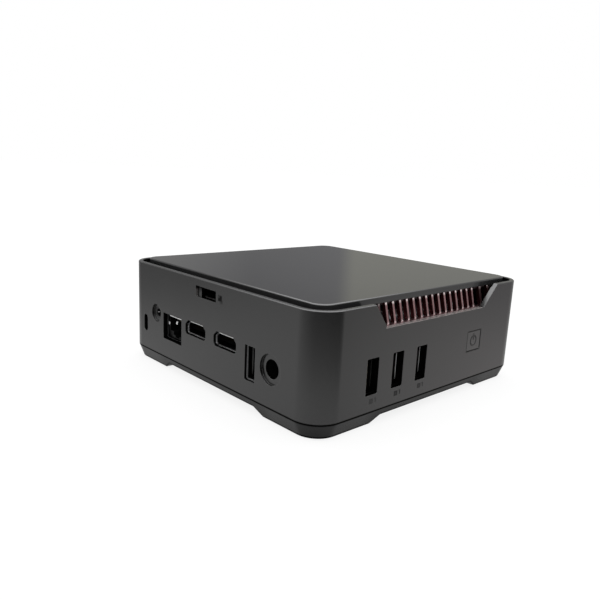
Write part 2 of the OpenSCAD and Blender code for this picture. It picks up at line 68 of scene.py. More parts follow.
FULL = 1.0                        # strength of a complete shade
SHADE_LOSS = 0.97                 # share of the shine lost in full shade
NOISE_SPAN = (0.3, 0.7)           # part of a noise's range that is stretched to full contrast


def grey(value):
    return (value, value, value)


def greys(dark, light):
    return grey(dark), grey(light)


def rgba(colour):
    return (*colour, 1.0) if isinstance(colour, tuple) else (*grey(colour), 1.0)


# Tones are (darker, lighter) colours that a slow noise blends.
CASE_TONES = grey(0.0048), (0.0066, 0.0065, 0.0064)
BLACK_TONES = greys(0.012, 0.018)
SHELL_TONES = (0.55, 0.55, 0.56), (0.68, 0.68, 0.69)
STEEL_TONES = (0.42, 0.42, 0.43), (0.56, 0.56, 0.57)
GOLD_TONES = (0.75, 0.52, 0.18), (0.9, 0.66, 0.3)
SHELL_BRUSH = (0.2, 1, 6)         # noise scale along x, y, z that draws out the streaks


# ---------------------------------------------------------------- node helpers
class Graph:
    """Builds a node tree one node at a time; values may be numbers, colours or output sockets."""

    def __init__(self, tree):
        self.tree = tree
        tree.nodes.clear()

    def link(self, source, target):
        self.tree.links.new(source, target)

    def feed(self, socket, value):
        if hasattr(value, "is_output"):
            self.link(value, socket)
        elif isinstance(value, tuple) and socket.type == "RGBA":
            socket.default_value = rgba(value)
        else:
            socket.default_value = value

    def node(self, kind, inputs=None, **properties):
        node = self.tree.nodes.new("ShaderNode" + kind)
        for key, value in properties.items():
            setattr(node, key, value)
        for key, value in (inputs or {}).items():
            if value is not None:
                self.feed(node.inputs[key], value)
        return node

    def math(self, operation, first, second=None, clamp=False):
        inputs = {0: first, 1: second}
        return self.node("Math", inputs, operation=operation, use_clamp=clamp).outputs[0]

    def add(self, first, second):
        return self.math("ADD", first, second)

    def sub(self, first, second):
        return self.math("SUBTRACT", first, second)

    def mul(self, first, second, clamp=False):
        return self.math("MULTIPLY", first, second, clamp)

    def mix(self, factor, first, second, blend="MIX"):
        inputs = {0: factor, 6: first, 7: second}
        return self.node("Mix", inputs, data_type="RGBA", blend_type=blend).outputs[2]

    def ramp(self, factor, stops):
        """Stops are (position, colour or grey)."""
        node = self.node("ValToRGB")
        elements = node.color_ramp.elements
        while len(elements) < len(stops):
            elements.new(0.5)
        for element, (position, colour) in zip(elements, stops):
            element.position = position
            element.color = rgba(colour)
        self.link(factor, node.inputs[0])
        return node.outputs[0]

    def fade(self, value, start, end, low=0.0, high=1.0, curve="LINEAR"):
        """low where value is at start, changing to high where it is at end."""
        inputs = {"Value": value, "From Min": start, "From Max": end, "To Min": low, "To Max": high}
        return self.node("MapRange", inputs, interpolation_type=curve).outputs[0]

    def xyz(self, vector):
        return self.node("SeparateXYZ", {0: vector}).outputs


class Material(Graph):
    """A principled material with noises, and masks placed in mm object coordinates."""

    def __init__(self, name):
        self.data = bpy.data.materials.new(name)
        self.data.use_nodes = True
        super().__init__(self.data.node_tree)
        output = self.node("OutputMaterial")
        self.bsdf = self.node("BsdfPrincipled")
        self.link(self.bsdf.outputs[0], output.inputs["Surface"])
        self.coord = self.node("TexCoord").outputs["Object"]

    def set(self, **values):
        for key, value in values.items():
            self.feed(self.bsdf.inputs[key.replace("_", " ")], value)

    # textures
    def noise(self, scale, detail=3.0, rough=0.55, stretch=None):
        vector = self.coord
        if stretch:
            vector = self.node("Mapping", {"Vector": vector, "Scale": stretch}).outputs[0]
        inputs = {"Vector": vector, "Scale": scale, "Detail": detail, "Roughness": rough}
        return self.node("TexNoise", inputs).outputs[0]

    def voronoi(self, scale, output="Distance"):
        return self.node("TexVoronoi", {"Vector": self.coord, "Scale": scale}).outputs[output]

    def spread(self, noise, low, high):
        return self.fade(noise, *NOISE_SPAN, low, high)

    def clouded(self, noise, tones, span=NOISE_SPAN):
        return self.mix(self.ramp(noise, [(span[0], 0.0), (span[1], 1.0)]), *tones)

    def speckled(self, colour, noise, amount, dark, bright):
        """Multiplies the colour by a noise; dark and bright are (noise level, factor)."""
        speck = self.ramp(noise, [dark, bright])
        return self.mix(amount, colour, self.mix(1.0, colour, speck, "MULTIPLY"))

    def blended(self, fine, cloud):
        return self.add(self.mul(fine, 0.6), self.mul(cloud, 0.4))

    # geometry
    def normal(self):
        return self.xyz(self.node("NewGeometry").outputs["Normal"])

    def rounded_normal(self, radius):
        return self.node("Bevel", {"Radius": radius}, samples=6).outputs[0]

    def edge(self, radius):
        """1 on edges and corners, 0 on flats: the angle between true and rounded normal."""
        true = self.node("NewGeometry").outputs["Normal"]
        inputs = {0: true, 1: self.rounded_normal(radius)}
        dot = self.node("VectorMath", inputs, operation="DOT_PRODUCT").outputs["Value"]
        return self.fade(self.invert(dot), 0.02, 0.3)

    def mm(self, axes="xyz"):
        """Object coordinates in mm along the named axes."""
        parts = self.xyz(self.coord)
        return [self.mul(parts["xyz".index(axis)], 1000.0) for axis in axes]

    def along(self, axis):
        return self.mm(axis)[0]

    def length(self, first, second):
        return self.math("SQRT", self.add(self.mul(first, first), self.mul(second, second)))

    def depth(self, point=None):
        """Millimetres behind the outer wall, right in the wall zone and round the corners."""
        over = [self.math("MAXIMUM", self.sub(self.magnitude(value), CORNER_CENTRE), 0.0)
                for value in (point or self.mm("xy"))[:2]]
        return self.sub(CORNER_RADIUS, self.length(*over))

    # masks
    def magnitude(self, value):
        return self.math("ABSOLUTE", value)

    def below(self, value, limit):
        return self.math("LESS_THAN", value, limit)

    def above(self, value, limit):
        return self.math("GREATER_THAN", value, limit)

    def invert(self, value):
        return self.sub(1.0, value)

    def all_of(self, first, *others):
        for value in others:
            first = self.mul(first, value)
        return first

    def any_of(self, first, *others):
        for value in others:
            first = self.math("MAXIMUM", first, value)
        return first

    def rect(self, across, up, centre, half, soft=0.04):
        """1 inside a rectangle given by its centre and half sizes, over an edge soft mm wide."""
        over = [self.sub(self.magnitude(self.sub(value, middle)), size)
                for value, middle, size in zip((across, up), centre, half)]
        return self.fade(self.math("MAXIMUM", *over), soft, -soft)

    def radius(self, across, up, centre):
        return self.length(self.sub(across, centre[0]), self.sub(up, centre[1]))

    def band(self, value, centre, half, soft):
        distance = self.magnitude(self.sub(value, centre))
        return self.fade(distance, half + soft, half - soft)

    # finish
    def shaded(self, colour, specular, shade, metallic=None):
        """Paints shade: sinks colour and shine where shade(self) is 1, inside sockets, seams and
        undercuts.
        """
        if shade is None:
            return colour, specular, metallic
        dark = shade(self)
        keep = self.invert(self.mul(dark, SHADE_LOSS))
        colour = self.mix(dark, colour, grey(0.0012))
        specular = self.mul(keep, specular)
        if metallic is not None:
            metallic = self.mul(keep, metallic)
        return colour, specular, metallic

    def bump(self, *layers, rounded=0.0):
        """Layers are (height, strength, distance in m); rounded is an edge radius in m."""
        normal = self.rounded_normal(rounded) if rounded else None
        for height, strength, distance in layers:
            inputs = {"Strength": strength, "Distance": distance, "Height": height,
                      "Normal": normal}
            normal = self.node("Bump", inputs).outputs[0]
        self.link(normal, self.bsdf.inputs["Normal"])


# ---------------------------------------------------------------- kinds of material
# In all of these the masks take the material: shade gives painted shade, the print mask gives print
# and lines of painted shade, and the painted-light mask gives (mask, colour) for painted highlights
# and shade.
def painted(name, tones, rough=0.24, specular=0.75, shade=None, print_and_shade=None, tint=None):
    """Dark moulding with a satin coat, fine grain and worn edges that are also lightened as painted
    highlight; the print mask lays dull dark print and lines of painted shade.
    """
    mat = Material(name)
    cloud = mat.noise(22, detail=4, rough=0.6)
    patches = mat.noise(240, detail=3, rough=0.6)
    fine = mat.noise(5200, detail=2, rough=0.6)
    colour = mat.speckled(mat.clouded(cloud, tones), fine, amount=0.4,
                          dark=(0.35, 0.7), bright=(0.65, 1.25))
    # edges lightened in patches: partly worn paint, partly painted highlight
    edge_wear_and_highlight = mat.mul(mat.edge(radius=0.0004), mat.fade(patches, 0.38, 0.62, low=0.5), clamp=True)
    colour = mat.mix(edge_wear_and_highlight, colour, (0.085, 0.084, 0.082))
    roughness = mat.add(mat.spread(cloud, rough - 0.012, rough + 0.015),
                        mat.spread(fine, -0.015, 0.02))
    # dull dark print, and lines of painted shade
    if print_and_shade:
        printed = print_and_shade(mat)
        colour = mat.mix(printed, colour, grey(0.004))
        roughness = mat.add(roughness, mat.mul(printed, 0.25))
        specular = mat.mul(mat.invert(mat.mul(printed, 0.62)), specular)
    colour, specular, _ = mat.shaded(colour, specular, shade)
    # painted highlights and painted lifts laid over the colour
    if tint:
        mask, tone = tint(mat)
        colour = mat.mix(mask, colour, tone)
    mat.set(Base_Color=colour, Roughness=roughness, Specular_IOR_Level=specular)
    mat.bump((fine, 0.25, 0.0000022), (patches, 0.2, 0.000004), rounded=0.00014)
    return mat.data


def moulded(name, tones, rough=0.42, grain=0.35, shade=None, tint=None):
    """Bare plastic with a pitted grain."""
    mat = Material(name)
    cloud = mat.noise(28, detail=4, rough=0.6)
    fine = mat.noise(2600, detail=2, rough=0.6)
    pits = mat.voronoi(3400)
    colour = mat.speckled(mat.clouded(cloud, tones), fine, amount=0.55,
                          dark=(0.35, 0.82), bright=(0.65, 1.12))
    roughness = mat.spread(mat.blended(fine, cloud), rough - 0.05, rough + 0.07)
    colour, specular, _ = mat.shaded(colour, 0.5, shade)
    # painted highlights and painted shade laid over the colour
    if tint:
        mask, tone = tint(mat)
        colour = mat.mix(mask, colour, tone)
    mat.set(Base_Color=colour, Roughness=roughness, Specular_IOR_Level=specular,
            Coat_Roughness=0.25)
    mat.bump((pits, grain, 0.00003), (fine, grain * 0.8, 0.00002), rounded=0.00012)
    return mat.data


def metal(name, tones, rough=0.28, brush=(1, 1, 1), metallic=1.0, shade=None, tint=None):
    """Brushed metal with a little dirt in the streaks."""
    mat = Material(name)
    streak = mat.noise(900, detail=3, rough=0.6, stretch=brush)
    cloud = mat.noise(60, detail=4, rough=0.6)
    colour = mat.speckled(mat.clouded(cloud, tones), streak, amount=0.25,
                          dark=(0.3, 0.6), bright=(0.7, 1.1))
    roughness = mat.spread(mat.blended(streak, cloud), rough - 0.08, rough + 0.1)
    # painted highlights and painted shade laid over the colour
    if tint:
        mask, tone = tint(mat)
        colour = mat.mix(mask, colour, tone)
    colour, specular, metallic = mat.shaded(colour, 0.5, shade, metallic)
    mat.set(Base_Color=colour, Roughness=roughness, Metallic=metallic,
            Specular_IOR_Level=specular)
    mat.bump((streak, 0.25, 0.00002), rounded=0.0001)
    return mat.data


def socket_shell(name, tones=SHELL_TONES, **masks):
    return metal(name, tones, rough=0.3, brush=SHELL_BRUSH, **masks)


def gold(name, shade=None):
    return metal(name, GOLD_TONES, rough=0.22, shade=shade)


def spring(name, shade=None):
    return metal(name, greys(0.84, 0.94), rough=0.34, brush=(1, 0.2, 4), metallic=0.35,
                 shade=shade)


def mottled(name, scale, detail, noise_rough, tones, rough, strength, distance):
    """One noise drives colour, roughness (low, high) and a bump of that strength and distance."""
    mat = Material(name)
    noise = mat.noise(scale, detail=detail, rough=noise_rough)
    mat.set(Base_Color=mat.mix(noise, *tones), Roughness=mat.spread(noise, *rough))
    mat.bump((noise, strength, distance))
    return mat.data


def rubber():
    mat = Material("pad_rubber")
    noise = mat.noise(1400, detail=4, rough=0.7)
    cells = mat.voronoi(2200)
    mat.set(Base_Color=mat.clouded(noise, (grey(0.012), (0.028, 0.027, 0.026))),
            Roughness=mat.spread(noise, 0.7, 0.9))
    mat.bump((cells, 0.5, 0.00006), (noise, 0.4, 0.00004), rounded=0.00015)
    return mat.data


def board(name, shade=None):
    """Green circuit board: crossed stripes, broken up by cells, stand for the copper runs."""
    mat = Material(name)
    x, y, _ = mat.xyz(mat.coord)
    cell = mat.node("SeparateColor", {0: mat.voronoi(260, output="Color")}).outputs
    stripe_x, stripe_y = (mat.math("SINE", mat.mul(value, 5200.0)) for value in (x, y))
    pick = mat.above(cell[0], 0.5)
    run = mat.add(mat.mul(stripe_x, pick), mat.mul(stripe_y, mat.invert(pick)))
    track = mat.mul(mat.above(run, 0.15), mat.above(cell[1], 0.4))
    via = mat.below(mat.voronoi(420), 0.12)
    colour = mat.mix(track, (0.008, 0.05, 0.022), (0.014, 0.11, 0.05))
    colour = mat.mix(via, colour, (0.55, 0.45, 0.2))
    colour, specular, _ = mat.shaded(colour, 0.5, shade)
    mat.set(Base_Color=colour, Specular_IOR_Level=specular,
            Roughness=mat.spread(mat.noise(300), 0.22, 0.38))
    mat.bump((track, 0.4, 0.00003))
    return mat.data


def film():
    """Amber flexible film with fine lines across y."""
    mat = Material("flex_film")
    y = mat.xyz(mat.coord)[1]
    line = mat.above(mat.math("SINE", mat.mul(y, 9000.0)), 0.2)
    mat.set(Base_Color=mat.mix(line, (0.35, 0.17, 0.03), (0.6, 0.3, 0.08)),
            Roughness=mat.spread(mat.noise(500), 0.2, 0.35))
    mat.bump((line, 0.3, 0.00002))
    return mat.data


def red_anodised():
    """Grille fins: rose faces, dark wine painted shade on the cheeks, near-black painted shade at
    the ends and deep inside, painted highlights on the tips.
    """
    mat = Material("red_anodised")
    x, y, z = mat.mm()
    cloud = mat.noise(120, detail=3, rough=0.6)
    streak = mat.noise(1500, detail=2, rough=0.6, stretch=(1, 0.15, 0.15))
    patches = mat.noise(420, detail=3, rough=0.6)
    colour = mat.clouded(cloud, ((0.27, 0.150, 0.155), (0.38, 0.225, 0.23)), span=(0.35, 0.65))
    # faces that look along x, between the fins, get dark wine painted shade
    cheek = mat.fade(mat.magnitude(mat.normal()[0]), 0.55, 0.9)
    colour = mat.mix(mat.mul(cheek, 0.93), colour, (0.075, 0.006, 0.009))
    # x as it is on the front grille, turned round on the rear one
    turned_x = mat.mul(x, mat.mul(mat.math("SIGN", y), -1.0))
    # painted shade where the fins run behind the ends of the cut-out
    ends = mat.any_of(mat.fade(turned_x, -27.4, -28.6, high=0.8),
                      mat.fade(turned_x, 31.2, 32.4, high=0.55))
    # lighter front edges: partly worn bare metal, partly painted highlight
    edge_wear_and_highlight = mat.all_of(mat.edge(radius=0.00045), 0.55, mat.invert(mat.mul(cheek, 0.8)))
    colour = mat.mix(edge_wear_and_highlight, colour, (0.70, 0.54, 0.53))
    # painted highlights on the heads and feet of the fins, above the lower rail
    rail_top = 36.12
    head = mat.fade(z, 42.6, 43.5)
    foot = mat.all_of(mat.fade(z, 37.0, 36.4), mat.above(z, rail_top), 0.55)
    tip = mat.all_of(mat.any_of(head, foot), mat.fade(patches, 0.32, 0.6, low=0.45),
                     mat.invert(cheek))
    colour = mat.mix(tip, colour, (0.95, 0.84, 0.83))
    # painted shade on the lower rail under the fins' feet
    colour = mat.mix(mat.mul(mat.below(z, rail_top), 0.75), colour, (0.09, 0.045, 0.048))
    # near-black painted shade on the ends and on the inner rail deep inside
    inner_rail_shade = mat.mul(mat.below(mat.magnitude(y), 57.75), 0.9)
    colour = mat.mix(mat.any_of(mat.mul(ends, 0.93), inner_rail_shade), colour, (0.012, 0.003, 0.005))
    mat.set(Base_Color=colour, Metallic=mat.sub(0.85, mat.mul(tip, 0.5)),
            Roughness=mat.spread(streak, 0.24, 0.40))
    mat.bump((streak, 0.25, 0.00002), rounded=0.00018)
    return mat.data


# ---------------------------------------------------------------- masks of the case parts
def shell_shade_and_print(mat):
    # painted shade in the openings, the card relief, the rim and the seam, and one printed dot
    x, y, z = point = mat.mm()
    depth = mat.depth(point)
    side = mat.below(x, 0.0)
    # painted shade in the openings through the wall; in those of the audio and power sockets it
    # starts deeper in
    sink = mat.all_of(side, mat.any_of(mat.rect(y, z, AUDIO, (4.3, 4.3)),
                                       mat.rect(y, z, DC, (6.1, 6.1))))
    wall = mat.any_of(mat.all_of(mat.invert(sink), mat.fade(depth, 0.08, 0.7)),
                      mat.all_of(sink, mat.fade(depth, 1.12, 1.6)))
    grille = mat.all_of(mat.above(z, 35.4), mat.above(mat.magnitude(y), 55.0))
    # shallow relief by the card slot, with painted shade growing towards its top
    relief = mat.all_of(side, mat.rect(y, z, (6.35, 40.0), (1.5, 2.3)), mat.below(depth, 0.95))
    wall = mat.mix(relief, wall, mat.fade(z, 39.3, 41.5, low=0.02, high=0.97))
    wall = mat.all_of(wall, mat.invert(grille), mat.below(depth, 2.3), mat.below(z, 43.9))
    # painted shade down the inside of the rim, and along the seam
    inner_rim = mat.all_of(mat.fade(z, 43.7, 43.9), mat.fade(depth, 1.72, 1.9))
    seam = mat.all_of(mat.fade(z, SEAM_Z + 0.55, SEAM_Z + 0.25), mat.below(depth, 2.07))
    # small printed dot beside the card slot, with a clear eye
    eye = mat.fade(mat.radius(y, z, (-8.3, 40.4)), 0.45, 0.2)
    blot = mat.all_of(mat.rect(y, z, (-9.0, 39.9), (1.3, 1.15), soft=0.25), mat.invert(eye))
    tail = mat.mul(mat.rect(y, z, (-10.0, 38.7), (0.8, 0.7), soft=0.25), 0.6)
    dot = mat.all_of(mat.any_of(blot, tail), side, mat.below(depth, 0.06), 0.94)
    return mat.any_of(wall, inner_rim, seam, dot)


def shell_tint(mat):
    """Painted highlight on the sill of the grille cut-out, and a painted lift on the shallow end
    wall of the card relief.
    """
    x, y, z = point = mat.mm()
    sill = mat.all_of(mat.band(z, 36.2, half=0.2, soft=0.03),
                      mat.rect(x, y, (0.1, -62.9), (31.6, 1.4), soft=0.15))
    grain = mat.fade(mat.noise(900, detail=3, rough=0.6), 0.35, 0.65, low=0.55)
    facing_y = mat.fade(mat.magnitude(mat.normal()[1]), 0.12, 0.4)
    end = mat.all_of(mat.below(x, 0.0), mat.rect(y, z, (6.6, 39.0), (1.6, 1.3), soft=0.9),
                     mat.band(mat.depth(point), 0.4, half=0.46, soft=0.04), facing_y)
    return (mat.any_of(mat.mul(sill, grain), end),
            mat.mix(end, (0.30, 0.27, 0.265), grey(0.055)))


USB_PRINTS = ((0.5, 0.9), (0.9, 0.7), (0.8, 0.55))  # strength, x offset from the socket


def shell_print_and_shade(mat):
    """A small print under each front USB socket, and a line of painted shade round the button."""
    x, y, z = point = mat.mm()
    front = mat.all_of(mat.below(mat.depth(point), 0.06), mat.below(y, -60.0))
    marks = []
    for usb_x, (strength, offset) in zip(USB_XS, USB_PRINTS):
        middle = usb_x + offset
        square = (middle - 0.75, 10.1)
        outline = mat.all_of(mat.rect(x, z, square, (1.05, 0.95), soft=0.12),
                             mat.invert(mat.rect(x, z, square, (0.2, 0.2), soft=0.12)))
        tick = mat.any_of(mat.rect(x, z, (middle + 1.6, 10.2), (0.3, 0.9), soft=0.12),
                          mat.rect(x, z, (middle + 1.35, 10.85), (0.4, 0.22), soft=0.12))
        marks.append(mat.all_of(mat.any_of(outline, tick), front, strength))
    # painted shade of the groove round the button opening, drawn as a dark line
    rim = mat.all_of(mat.rect(x, z, BUTTON, (5.28, 4.58), soft=0.1),
                     mat.invert(mat.rect(x, z, BUTTON, (4.95, 4.25), soft=0.05)), front)
    marks.append(mat.mul(rim, 0.85))
    return mat.any_of(*marks)


def base_shade(mat):
    # painted shade along the seam, in a dark line above the lower edge, on the lower skirt, darker
    # towards the bottom, and in the middle of each side
    x, y, z = mat.mm()
    seam = mat.fade(z, SEAM_Z - 0.55, SEAM_Z - 0.22)
    # distance from the nearer axis: the lip's lower edge is higher near the middle of a side
    off_axis = mat.math("MINIMUM", mat.magnitude(x), mat.magnitude(y))
    edge_z = mat.fade(off_axis, 30.0, 34.5, low=3.04, high=0.3)
    lip = mat.fade(mat.sub(z, edge_z), 1.15, 0.65)
    sheet = mat.fade(z, 0.2, 5.2, low=0.35, high=0.0)
    middle = mat.fade(off_axis, 40.0, 33.0, high=0.42)
    return mat.any_of(mat.mul(seam, 0.95), mat.mul(lip, 0.93), mat.add(sheet, middle))


def button_print_and_shade(mat):
    """Power symbol, an open ring and a bar, and a faint line of painted shade round the edge."""
    x, y, z = mat.mm()
    front = mat.below(y, -63.3)
    from_centre = mat.radius(x, z, SYMBOL)
    gap = mat.rect(x, z, (SYMBOL[0], 24.6), (0.62, 1.4), soft=0.1)
    ring = mat.all_of(mat.band(from_centre, 2.1, half=0.4, soft=0.12), mat.invert(gap),
                      mat.fade(z, 19.9, 21.2, low=0.45))
    bar = mat.rect(x, z, (SYMBOL[0], 24.0), (0.36, 1.45), soft=0.1)
    border = mat.invert(mat.rect(x, z, BUTTON, (4.62, 3.92), soft=0.12))
    return mat.mul(mat.any_of(mat.any_of(ring, bar), mat.mul(border, 0.6)), front)


# ---------------------------------------------------------------- masks of the sockets: painted shade and painted highlights
def well(axis, centre, half, start, end):
    """Shade that closes in behind a socket mouth from depth start to end; axis 0 is x, 1 is y."""
    def shade(mat):
        point = mat.mm()
        inside = mat.rect(point[axis], point[2], centre, half)
        return mat.all_of(inside, mat.fade(mat.depth(point), start, end), FULL)
    return shade


def deep(start, end, amount=FULL):
    """Shade that grows from depth start to end."""
    return lambda mat: mat.mul(mat.fade(mat.depth(), start, end), amount)


def usb_shade(axis, across, rim_start, rim_end, rim_dark=1.0):
    """Painted shade in a USB well, its front rim darkened as well."""
    inner = well(axis, (across, USB_Z), half=(2.62, 6.27), start=0.85, end=1.5)
    return lambda mat: mat.any_of(
        inner(mat), mat.fade(mat.depth(), rim_start, rim_end, high=rim_dark))


def usb_blade_tint(axis, low, high, strength):
    """Painted highlight on the front edge of a socket's blade, fading downwards."""
    def tint(mat):
        point = mat.mm()
        edge = mat.rect(point[axis], point[2], ((low + high) / 2, 19.7),
                        ((high - low) / 2, 5.0), soft=0.08)
        mask = mat.all_of(edge, mat.below(mat.depth(point), 2.6),
                          mat.fade(point[2], 14.4, 18.5, low=0.35), strength)
        return mask, grey(0.95)
    return tint


def hdmi_tint(centre_y):
    """Painted light on the rolled front rim: a highlight along the top, half bright at the +Y end,
    painted shade below.
    """
    def tint(mat):
        _, y, z = point = mat.mm()
        rim = mat.below(mat.depth(point), 1.12)
        bright = mat.any_of(mat.fade(z, 24.1, 24.8),
                            mat.fade(y, centre_y + 6.3, centre_y + 6.8, high=0.5))
        return rim, mat.mix(bright, grey(0.30), grey(0.98))
    return tint


def lan_shield_shade(mat):
    inner = well(1, LAN, half=(7.1, 5.4), start=1.85, end=2.2)
    return mat.any_of(inner(mat), mat.fade(mat.depth(), 2.3, 2.0, high=0.97))


def lan_contact_shade(mat):
    # painted shade on the wires deep inside and on all but the first wire
    return mat.any_of(mat.fade(mat.depth(), 5.6, 6.4, high=0.96),
                      mat.fade(mat.along("y"), 29.3, 29.0, high=0.93))


def card_shade(mat):
    return mat.fade(mat.depth(), 9.0, 7.0)


def audio_shade(mat):
    _, y, z = point = mat.mm()
    return mat.all_of(mat.below(mat.radius(y, z, AUDIO), 1.9),
                      mat.fade(mat.depth(point), 1.2, 1.7))


def lock_shade(mat):
    return mat.all_of(mat.rect(mat.along("y"), mat.along("z"), LOCK, (1.6, 3.8)),
                      mat.fade(mat.depth(), 3.2, 3.0))


# ---------------------------------------------------------------- the materials
by_slot = {"case": painted("case_paint", CASE_TONES, shade=shell_shade_and_print, print_and_shade=shell_print_and_shade,
                           tint=shell_tint)}
by_node = {
    "base_cover": painted("base_paint", CASE_TONES, rough=0.28, shade=base_shade),
    # painted shade on the button's sides behind its face
    "power_button": painted(
        "button_paint", ((0.0075, 0.0073, 0.0070), (0.0095, 0.0092, 0.0088)), specular=0.9,
        shade=lambda mat: mat.fade(mat.along("y"), -63.75, -63.3), print_and_shade=button_print_and_shade),
}
by_slot.update({
    # painted shade on the shine and a painted lift of the colour on the plate's side, below its top
    # edge
    "plate": painted(
        "plate_satin", (grey(0.0070), (0.0090, 0.0089, 0.0088)), rough=0.11,
        shade=lambda mat: mat.fade(mat.along("z"), *PLATE_FADE_Z, high=0.5),
        tint=lambda mat: (mat.fade(mat.along("z"), *PLATE_FADE_Z), (0.024, 0.0242, 0.0248))),
    "black_plastic": moulded("black_plastic", BLACK_TONES, rough=0.4, grain=0.3),
    "ivory_plastic": moulded("ivory_plastic", ((0.58, 0.54, 0.42), (0.66, 0.62, 0.5)),
                             rough=0.45),
    "steel": metal("screw_steel", STEEL_TONES, rough=0.32),
    "stamped_shell": metal("stamped_shell", SHELL_TONES, rough=0.26, brush=SHELL_BRUSH),
    "contact_gold": gold("contact_gold"),
    "heatsink_alloy": metal("heatsink_alloy", ((0.6, 0.6, 0.61), (0.72, 0.72, 0.73)),
                            rough=0.35, brush=(1, 0.05, 1)),
    "bearing_bronze": metal("bearing_bronze", ((0.45, 0.30, 0.13), (0.58, 0.4, 0.18)),
                            rough=0.45),
    "stator_copper": metal("stator_copper", ((0.6, 0.25, 0.1), (0.75, 0.33, 0.14)),
                           rough=0.3, brush=(1, 1, 8)),
    "red_anodised": red_anodised(),
    "pad_rubber": rubber(),
    "circuit_board": board("circuit_board"),
    "flex_film": film(),
    "thermal_pad": mottled("thermal_pad", scale=900, detail=4, noise_rough=0.7,
                           tones=((0.28, 0.31, 0.34), (0.42, 0.45, 0.48)), rough=(0.6, 0.8),
                           strength=0.4, distance=0.00004),
    "cable_jacket": mottled("cable_jacket", scale=1200, detail=3, noise_rough=0.6,
                            tones=(grey(0.012), (0.03, 0.03, 0.032)), rough=(0.38, 0.55),
                            strength=0.25, distance=0.00002),
})
by_slot["impeller_plastic"] = by_slot["black_plastic"]

# the socket parts below get painted shade deeper in, and painted highlights on blade edges
for i, (usb_x, glint) in enumerate(zip(USB_XS, (0.06, 1.0, 0.9)), 1):
    by_node[f"usb_{i}_shell"] = socket_shell(
        f"usb_shell_{i}", shade=usb_shade(0, usb_x, rim_start=2.0, rim_end=1.7))
    by_node[f"usb_{i}_tongue"] = moulded(
        f"usb_blade_{i}", BLACK_TONES, shade=deep(2.0, 2.3),
        tint=usb_blade_tint(0, low=usb_x + 1.5, high=usb_x + 1.92, strength=glint))
by_node["io_usb_shell"] = socket_shell(
    "usb_shell_side",
    shade=usb_shade(1, SIDE_USB_Y, rim_start=1.3, rim_end=1.15, rim_dark=0.72))
by_node["io_usb_tongue"] = moulded(
    "usb_blade_side", BLACK_TONES, shade=deep(2.0, 2.3),
    tint=usb_blade_tint(1, low=-27.6, high=-26.9, strength=0.06))
for i, hdmi_y in enumerate(HDMI_YS, 1):
    by_node[f"hdmi_{i}_shell"] = socket_shell(
        f"hdmi_shell_{i}", ((0.62, 0.62, 0.63), (0.75, 0.75, 0.76)), tint=hdmi_tint(hdmi_y),
        shade=well(1, (hdmi_y, HDMI_Z), half=(6.86, 2.46), start=1.1, end=1.55))
    by_node[f"hdmi_{i}_tongue"] = moulded(f"hdmi_blade_{i}", BLACK_TONES, shade=deep(2.0, 2.3))
# painted shade deeper in on the socket parts below; painted highlight on the first LAN wire
by_node.update({
    "lan_shield": socket_shell("lan_can", shade=lan_shield_shade),
    "lan_insert": moulded("lan_body", BLACK_TONES, shade=deep(2.3, 2.7)),
    "lan_contacts": metal(
        "lan_wires", ((0.75, 0.62, 0.38), (0.9, 0.78, 0.55)), rough=0.22,
        shade=lan_contact_shade,
        tint=lambda mat: (mat.above(mat.along("y"), 29.2), (0.98, 0.98, 0.96))),
    "card_reader": socket_shell("card_can", shade=card_shade),
    "card_board": board("card_circuit", shade=card_shade),
    "audio_jack": moulded("audio_body", greys(0.014, 0.02), rough=0.35, shade=audio_shade),
    "dc_jack": moulded("dc_body", BLACK_TONES, shade=deep(2.05, 2.2)),
    "dc_pin": metal("dc_centre_pin", SHELL_TONES, rough=0.3, shade=deep(3.0, 3.5, amount=0.9)),
    "lock_plate": metal("lock_steel", STEEL_TONES, rough=0.35, shade=lock_shade),
})


# ---------------------------------------------------------------- CAD pieces
BEVELS = {  # edge radius in mm of each node that shows
    "side_shell": 0.18, "base_cover": 0.2, "top_plate": 0.12, "front_grille": 0.12,
    "rear_grille": 0.12, "power_button": 0.15, "foot_pads": 0.2, "base_screws": 0.1,
}


def add_bevel(ob, width, angle):
    """Rounds edges sharper than angle degrees by width mm."""
    bevel = ob.modifiers.new("bevel", "BEVEL")
    bevel.width = width * MM
    bevel.segments = 2
    bevel.limit_method = "ANGLE"
    bevel.angle_limit = math.radians(angle)


def add_smoothing(ob):
    for polygon in ob.data.polygons:
        polygon.use_smooth = True
    normals = ob.modifiers.new("normals", "WEIGHTED_NORMAL")
    normals.keep_sharp = True
    return normals


def dress(name, ob, material):
    """Gives a CAD piece its material and cleans up its facets and edges."""
    ob.data.materials.clear()
    ob.data.materials.append(material)
    weld = ob.modifiers.new("weld", "WELD")
    weld.merge_threshold = 2e-6
    flat = ob.modifiers.new("flat", "DECIMATE")
    flat.decimate_type = "DISSOLVE"
    flat.angle_limit = math.radians(0.6)
    if name in BEVELS:
        add_bevel(ob, BEVELS[name], angle=28)
    add_smoothing(ob).weight = 60


slot_of = {part["node"]: part["material_slot"] for part in frame["record"]["subparts"]}
for name, ob in frame["nodes"].items():
    dress(name, ob, by_node.get(name) or by_slot[slot_of[name]])


# ---------------------------------------------------------------- small sprung parts of the sockets
# A strip is bent along a profile of (depth behind the wall, position across its own face).
# These place (depth, position along its width, position across its face) in the case, in mm.
def front_upright(depth, along, across):
    return across, -HALF_WIDTH + depth, along


def side_upright(depth, along, across):
    return -HALF_WIDTH + depth, across, along


def side_level(depth, along, across):
    return -HALF_WIDTH + depth, along, across


